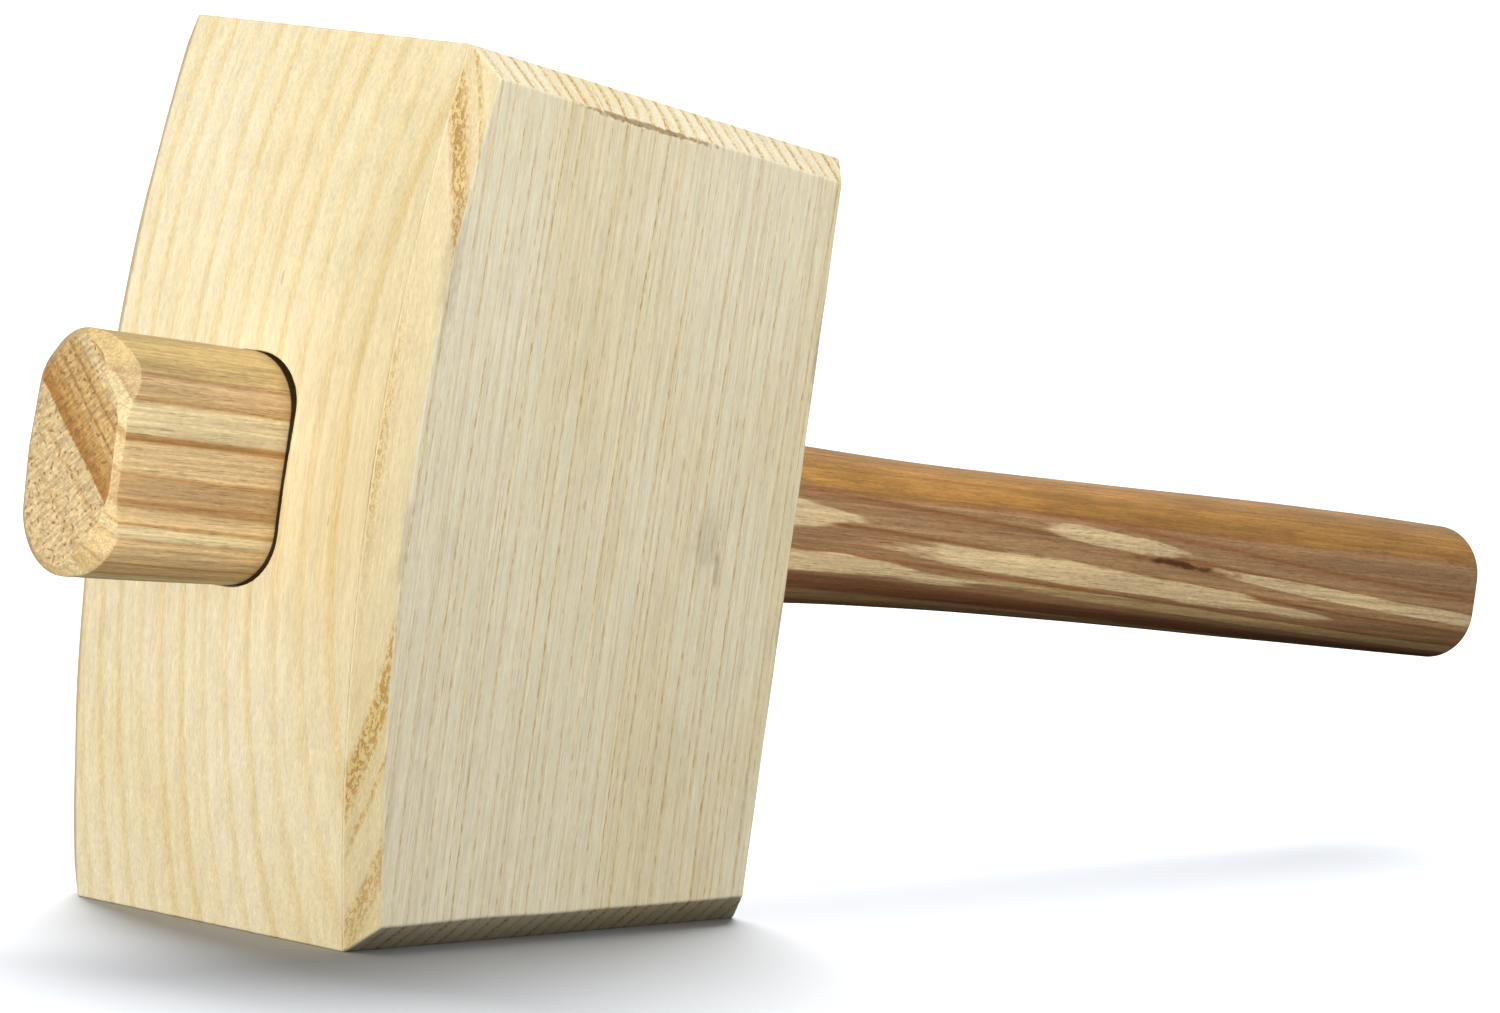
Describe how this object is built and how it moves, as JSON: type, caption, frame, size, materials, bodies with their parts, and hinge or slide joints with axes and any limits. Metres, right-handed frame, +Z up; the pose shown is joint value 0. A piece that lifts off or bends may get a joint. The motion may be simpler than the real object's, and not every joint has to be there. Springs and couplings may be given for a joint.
{
  "type": "wooden mallet",
  "caption": "Joiner's mallet: a wooden head block with an arched face, tapered striking faces and chamfered cheeks, on a tapered wooden handle wedged through it.",
  "frame": {"origin": "centre of the lower striking face, which the mallet stands on", "axes": "+Z up, out of the surface the mallet stands on; +X along the lower striking face from the arched face towards the hand, with the handle falling 4 degrees; +Y across the head, cheek to cheek"},
  "size_m": [0.4069, 0.0636, 0.1397],
  "materials": {
    "head_wood": "pale ash-like wood, planed and sanded, unvarnished, growth rings along the head",
    "handle_wood": "tan and brown striped wood, sanded and oiled to a slight sheen"
  },
  "bodies": {
    "head": {"head": "head_wood"},
    "handle": {"handle": "handle_wood"}
  },
  "joints": [
    {"name": "handle_draw", "type": "slide", "parent": "head", "child": "handle", "axis": [-0.9976, 0, 0.0698], "range_m": [0, 0.37]}
  ]
}
